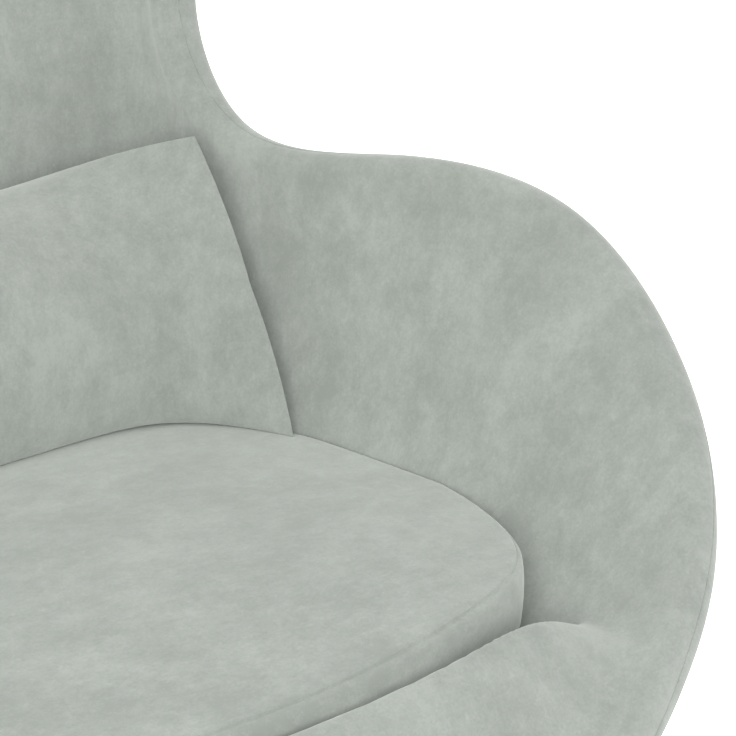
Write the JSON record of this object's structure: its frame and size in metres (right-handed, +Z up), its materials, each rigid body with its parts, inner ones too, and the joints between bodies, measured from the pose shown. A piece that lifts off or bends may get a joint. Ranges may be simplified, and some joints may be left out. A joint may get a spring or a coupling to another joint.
{
  "type": "upholstered egg chair",
  "caption": "Egg-shaped upholstered swivel armchair with a one-piece padded shell, a loose seat cushion, a loose back pillow and a star base.",
  "frame": {"origin": "on the floor, under the swivel axis", "axes": "+Z up, the front of the chair faces -Y, +X to the right of someone who looks at the front"},
  "size_m": [0.8636, 0.7661, 1.0502],
  "materials": {
    "sage_suede": "short suede nap with a soft mottle",
    "cut_foam": "open-cell upholstery foam, hidden",
    "fibre_fill": "loose polyester fibre, hidden",
    "glass_laminate": "moulded glass-fibre laminate, hidden",
    "zip_tape": "woven zip tape with a concealed coil",
    "painted_steel": "satin black powder coat",
    "zinc_steel": "zinc-plated steel",
    "bearing_steel": "ground steel",
    "brass_cage": "turned brass",
    "black_nylon": "moulded nylon",
    "polished_aluminium": "polished casting and tube"
  },
  "bodies": {
    "base": {"star_base": "polished_aluminium", "column_tube": "polished_aluminium", "bush_upper": "black_nylon", "bush_lower": "black_nylon", "thrust_cage": "brass_cage", "thrust_race_lower": "bearing_steel", "hub_cap": "black_nylon", "glide_1": "black_nylon", "glide_2": "black_nylon", "glide_3": "black_nylon", "glide_4": "black_nylon"},
    "seat": {"inner_cover": "sage_suede", "inner_foam": "cut_foam", "seat_shell": "glass_laminate", "outer_foam": "cut_foam", "outer_cover": "sage_suede", "seat_mount_plate": "painted_steel", "swivel_spindle": "painted_steel", "thrust_race_upper": "bearing_steel", "retaining_washer": "bearing_steel", "retaining_ring": "bearing_steel", "mount_bolt_1": "zinc_steel", "mount_bolt_2": "zinc_steel", "mount_bolt_3": "zinc_steel", "mount_bolt_4": "zinc_steel", "mount_washer_1": "zinc_steel", "mount_washer_2": "zinc_steel", "mount_washer_3": "zinc_steel", "mount_washer_4": "zinc_steel"},
    "seat_cushion": {"seat_cushion_cover": "sage_suede", "seat_cushion_foam": "cut_foam", "seat_cushion_zip": "zip_tape"},
    "pillow": {"pillow_cover": "sage_suede", "pillow_fill": "fibre_fill", "pillow_zip": "zip_tape"}
  },
  "joints": [
    {"name": "swivel", "type": "hinge", "parent": "base", "child": "seat", "pos_m": [0, 0, 0.3136], "axis": [0, 0, 1], "continuous": true},
    {"name": "seat_cushion_lift", "type": "slide", "parent": "seat", "child": "seat_cushion", "axis": [0, 0, 1], "range_m": [0, 0.1]},
    {"name": "pillow_lift", "type": "slide", "parent": "seat_cushion", "child": "pillow", "axis": [0, -0.866, 0.5], "range_m": [0, 0.12]}
  ]
}
